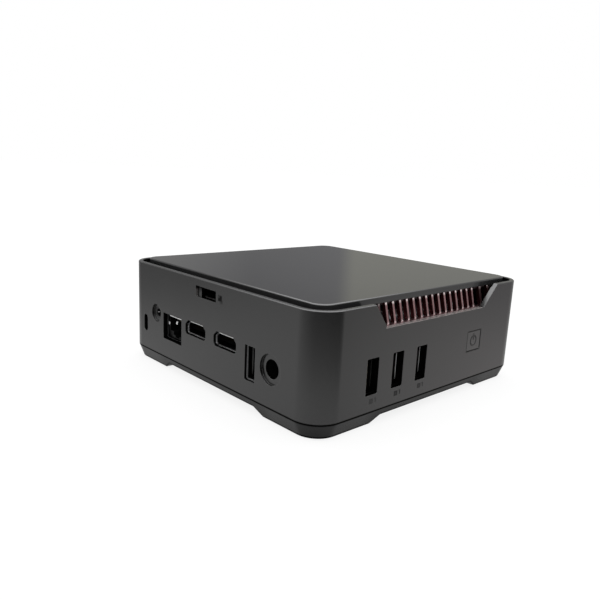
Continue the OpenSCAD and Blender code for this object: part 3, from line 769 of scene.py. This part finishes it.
def ribbon(bm, place, profile, thick, centre, width):
    """A bent strip with the profile as its centre line, lying width mm wide about centre."""
    left, right = [], []
    for i, (depth, across) in enumerate(profile):
        before = profile[max(i - 1, 0)]
        after = profile[min(i + 1, len(profile) - 1)]
        normal = Vector((before[1] - after[1], after[0] - before[0])).normalized() * (thick / 2)
        left.append((depth + normal.x, across + normal.y))
        right.append((depth - normal.x, across - normal.y))
    loop = left + right[::-1]
    count = len(loop)
    ends = [[bm.verts.new([value * MM for value in place(depth, centre + side * width / 2, across)])
             for depth, across in loop] for side in (-1, 1)]
    for i in range(count):
        j = (i + 1) % count
        bm.faces.new((ends[0][i], ends[0][j], ends[1][j], ends[1][i]))
    for end in ends:
        for i in range(len(profile) - 1):
            bm.faces.new((end[i], end[i + 1], end[count - 2 - i], end[count - 1 - i]))


def strips(name, material, place, ribbons, bevel=0.04):
    """One object of several ribbons, each (profile, thickness, centre, width) in mm."""
    bm = bmesh.new()
    for spec in ribbons:
        ribbon(bm, place, *spec)
    bmesh.ops.recalc_face_normals(bm, faces=bm.faces[:])
    mesh = bpy.data.meshes.new(name)
    bm.to_mesh(mesh)
    bm.free()
    ob = bpy.data.objects.new(name, mesh)
    scene.collection.objects.link(ob)
    mesh.materials.append(material)
    add_bevel(ob, bevel, angle=40)
    add_smoothing(ob)
    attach(ob, "chassis")


USB_PROFILE = [(2.62, 0.10), (2.72, -0.02), (2.95, -0.08), (6.0, -0.16), (7.6, -0.42),
               (8.4, -0.42), (9.6, -0.02), (10.5, 0.02)]
USB_CONTACT_ZS = (-3.5, -1.0, 1.0, 3.5)   # from the socket's centre
USB_CONTACT_OFFSET = 0.03                 # profile's zero line from the socket's centre


def usb_contacts(name, material_name, place, centre):
    """Four wiping contacts along an upright socket's blade, with painted shade deeper in."""
    profile = [(depth, centre + USB_CONTACT_OFFSET + across) for depth, across in USB_PROFILE]
    strips(name, gold(material_name, deep(2.2, 2.4, amount=0.9)), place,
           [(profile, 0.14, USB_Z + dz, 1.0) for dz in USB_CONTACT_ZS])


HDMI_PROFILE = [(2.55, 0.02), (2.75, 0.06), (8.4, 0.06)]
HDMI_ROWS = ((10, 0.35, 1), (9, -0.75, -1))  # contacts, height from the centre, way the face bends


def hdmi_contacts(name, material_name, centre_y):
    """Nineteen fine contacts, 1 mm apart, above and below a display socket's blade, with painted
    shade deeper in.
    """
    ribbons = []
    for count, height, way in HDMI_ROWS:
        profile = [(depth, HDMI_Z + height + way * across) for depth, across in HDMI_PROFILE]
        ribbons += [(profile, 0.1, centre_y - (k - (count - 1) / 2), 0.42) for k in range(count)]
    strips(name, gold(material_name, deep(2.2, 2.4, amount=0.98)), side_level, ribbons, bevel=0.02)


for i, usb_x in enumerate(USB_XS, 1):
    usb_contacts(f"usb_{i}_contacts", f"usb_contact_{i}", front_upright, usb_x)
usb_contacts("io_usb_contacts", "usb_contact_side", side_upright, SIDE_USB_Y)
for i, hdmi_y in enumerate(HDMI_YS, 1):
    hdmi_contacts(f"hdmi_{i}_contacts", f"hdmi_contact_{i}", hdmi_y)

tinned = spring("tinned_spring")
# painted shade above the tip, so only the key finger's tip shows bright
tip_steel = spring("tip_spring", shade=lambda mat: mat.fade(mat.along("z"), 22.35, 22.75))
HDMI_FINGER = [(1.15, 26.46), (0.8, 26.5), (0.5, 26.46), (0.34, 26.34), (0.36, 26.2)]
FINGERS = [  # name, material, place, profile, thickness, centre, width
    ("lan_top_finger", tinned, side_level,
     [(2.0, 25.58), (1.3, 25.62), (0.75, 25.6), (0.45, 25.48), (0.38, 25.32), (0.5, 25.2)],
     0.16, 23.6, 9.8),
    ("lan_side_finger", tinned, side_upright,
     [(2.7, 33.0), (2.45, 32.9), (2.3, 32.6), (2.35, 32.25), (2.55, 32.1)], 0.14, 20.9, 1.2),
    ("lan_key_finger", tip_steel, side_level,
     [(3.6, 24.55), (3.45, 23.6), (3.2, 22.7), (2.9, 22.15), (2.75, 21.75), (2.9, 21.35)],
     0.16, 26.9, 1.15),
    ("audio_spring", tinned, side_upright,
     [(1.75, 41.36), (1.95, 41.26), (2.3, 41.12), (2.65, 41.2), (2.9, 41.36)], 0.1, 24.2, 0.5),
] + [(f"hdmi_{i}_top_finger", tinned, side_level, HDMI_FINGER, 0.12, hdmi_y - 0.95, 9.6)
     for i, hdmi_y in enumerate(HDMI_YS, 1)]
for name, material, place, *spec in FINGERS:
    strips(name, material, place, [spec])


# ---------------------------------------------------------------- stage, light and camera
def floor_material():
    """Pale glowing floor, clear when seen from beneath."""
    material = bpy.data.materials.new("floor_pale")
    material.use_nodes = True
    graph = Graph(material.node_tree)
    glow = graph.node("Emission", {"Color": grey(1.0), "Strength": 0.84})
    matte = graph.node("BsdfDiffuse", {"Color": grey(0.21)})
    top = graph.node("AddShader", {0: glow.outputs[0], 1: matte.outputs[0]})
    beneath = graph.node("NewGeometry").outputs["Backfacing"]
    clear = graph.node("BsdfTransparent")
    both = graph.node("MixShader", {0: beneath, 1: top.outputs[0], 2: clear.outputs[0]})
    graph.node("OutputMaterial", {"Surface": both.outputs[0]})
    return material


def add_floor(half=20.0):
    mesh = bpy.data.meshes.new("floor")
    corners = [(-half, -half, 0), (half, -half, 0), (half, half, 0), (-half, half, 0)]
    mesh.from_pydata(corners, [], [(0, 1, 2, 3)])
    floor = bpy.data.objects.new("floor", mesh)
    scene.collection.objects.link(floor)
    mesh.materials.append(floor_material())
    floor.visible_glossy = False


def add_top_light(location=Vector((0.1, 0.1, 1.3)), size=1.2, power=3.0):
    """Square soft light overhead, aimed at the origin."""
    light = bpy.data.lights.new("top_box", "AREA")
    light.energy = power
    light.shape = "RECTANGLE"
    light.size = light.size_y = size
    ob = bpy.data.objects.new("top_box", light)
    scene.collection.objects.link(ob)
    ob.location = location
    ob.rotation_mode = "QUATERNION"
    ob.rotation_quaternion = (-location).to_track_quat("-Z", "Y")


# Soft panels seen in the glossy paint, by height of view: (azimuth in degrees from +X, brightness)
RINGS = {
    "far": [
        (0, 0.45), (60, 0.5), (112, 0.22), (121, 0.30), (127, 0.40), (133, 0.80), (150, 0.55),
        (174, 0.26), (204, 0.08), (225, 0.05), (246, 0.02), (292, 0.015), (306, 0.015),
        (313, 0.05), (316.5, 0.62), (324, (0.63, 0.62, 0.61)), (332, (0.43, 0.41, 0.42)),
        (360, 0.45)],
    "low": [
        (0, 0.66), (60, 0.62), (112, 0.72), (118, 0.72), (127, 0.72), (133, 0.90), (150, 0.66),
        (174, 0.42), (204, 0.08), (225, 0.045), (246, 0.025), (280, 0.025), (302, 0.06),
        (312, 0.33), (316, (0.84, 0.84, 0.83)), (324, (0.74, 0.73, 0.72)),
        (332, (0.80, 0.76, 0.76)), (360, 0.66)],
    "near": [
        (0, 0.66), (60, 0.62), (112, 0.64), (118, 0.66), (127, 0.66), (133, 0.92), (150, 1.05),
        (174, 1.32), (204, 1.48), (246, 1.46), (280, 1.3), (302, 1.04), (312, 0.92),
        (318, 0.80), (332, (0.76, 0.72, 0.73)), (360, 0.66)],
    "mid": [
        (0, 0.56), (20, (0.42, 0.42, 0.395)), (42.6, (0.455, 0.455, 0.415)),
        (43.4, (0.295, 0.295, 0.303)), (52, (0.255, 0.255, 0.263)), (60, 0.35), (90, 0.45),
        (125, 0.60), (160, 0.40), (195, 0.10), (245, 0.05), (290, 0.12), (320, 0.72),
        (360, 0.56)],
    "dim": [
        (0, 0.42), (20, (0.33, 0.33, 0.31)), (42.6, (0.34, 0.34, 0.31)),
        (43.4, (0.235, 0.235, 0.242)), (52, (0.215, 0.215, 0.22)), (60, 0.30), (90, 0.40),
        (125, 0.55), (160, 0.36), (195, 0.10), (245, 0.05), (290, 0.12), (320, 0.66),
        (360, 0.42)],
    "floor": [
        (0, 0.36), (117, 0.46), (121, 0.26), (128, 0.24), (133, 0.30), (200, 0.32), (250, 0.30),
        (300, 0.30), (322, 0.24), (329, 0.26), (334, 0.42), (360, 0.36)],
}


def add_world():
    """Even white for camera and diffuse rays, the ringed studio for glossy rays."""
    world = bpy.data.worlds.new("studio")
    scene.world = world
    world.use_nodes = True
    graph = Graph(world.node_tree)
    x, y, z = graph.xyz(graph.node("TexCoord").outputs["Generated"])
    turn = graph.math("DIVIDE", graph.math("ARCTAN2", y, x), 2 * math.pi)
    turn = graph.math("FRACT", graph.add(turn, 1.0))
    rings = {name: graph.ramp(turn, [(azimuth / 360.0, tone) for azimuth, tone in stops])
             for name, stops in RINGS.items()}

    def layered(colour, layers):
        """Layers are (z where the next colour starts, z where it is full, that colour)."""
        for start, full, upper in layers:
            colour = graph.mix(graph.fade(z, start, full, curve="SMOOTHSTEP"), colour, upper)
        return colour

    sky = layered(rings["dim"], [(0.10, 0.21, rings["mid"]), (0.30, 0.62, grey(0.60)),
                                 (0.52, 0.72, (3.6, 3.6, 3.65))])
    glossy = layered(rings["far"], [(-0.09, 0.02, sky), (-0.18, -0.27, rings["low"]),
                                    (-0.305, -0.37, rings["near"]),
                                    (-0.40, -0.48, rings["floor"])])
    path = graph.node("LightPath").outputs
    plain = graph.mix(path["Is Camera Ray"], grey(0.88), grey(1.0))
    total = graph.mix(path["Is Glossy Ray"], plain, glossy)
    background = graph.node("Background", {0: total})
    graph.node("OutputWorld", {0: background.outputs[0]})


def add_camera():
    data = bpy.data.cameras.new("camera")
    camera = bpy.data.objects.new("camera", data)
    scene.collection.objects.link(camera)
    data.sensor_width = 36.0
    data.lens = 35.64
    data.clip_start = 0.01
    data.clip_end = 50.0
    forward = Vector((0.66363726, 0.71781287, -0.21054754)).normalized()
    right = Vector((0.74021882, -0.67076954, 0.04630678))
    right = (right - forward * right.dot(forward)).normalized()
    turn = Matrix((right, right.cross(forward), -forward)).transposed()
    camera.matrix_world = Matrix.Translation((-0.19135, -0.19154, 0.08833)) @ turn.to_4x4()
    scene.camera = camera


add_floor()
add_top_light()
add_world()
scene.view_settings.view_transform = "Standard"
scene.view_settings.look = "None"
add_camera()
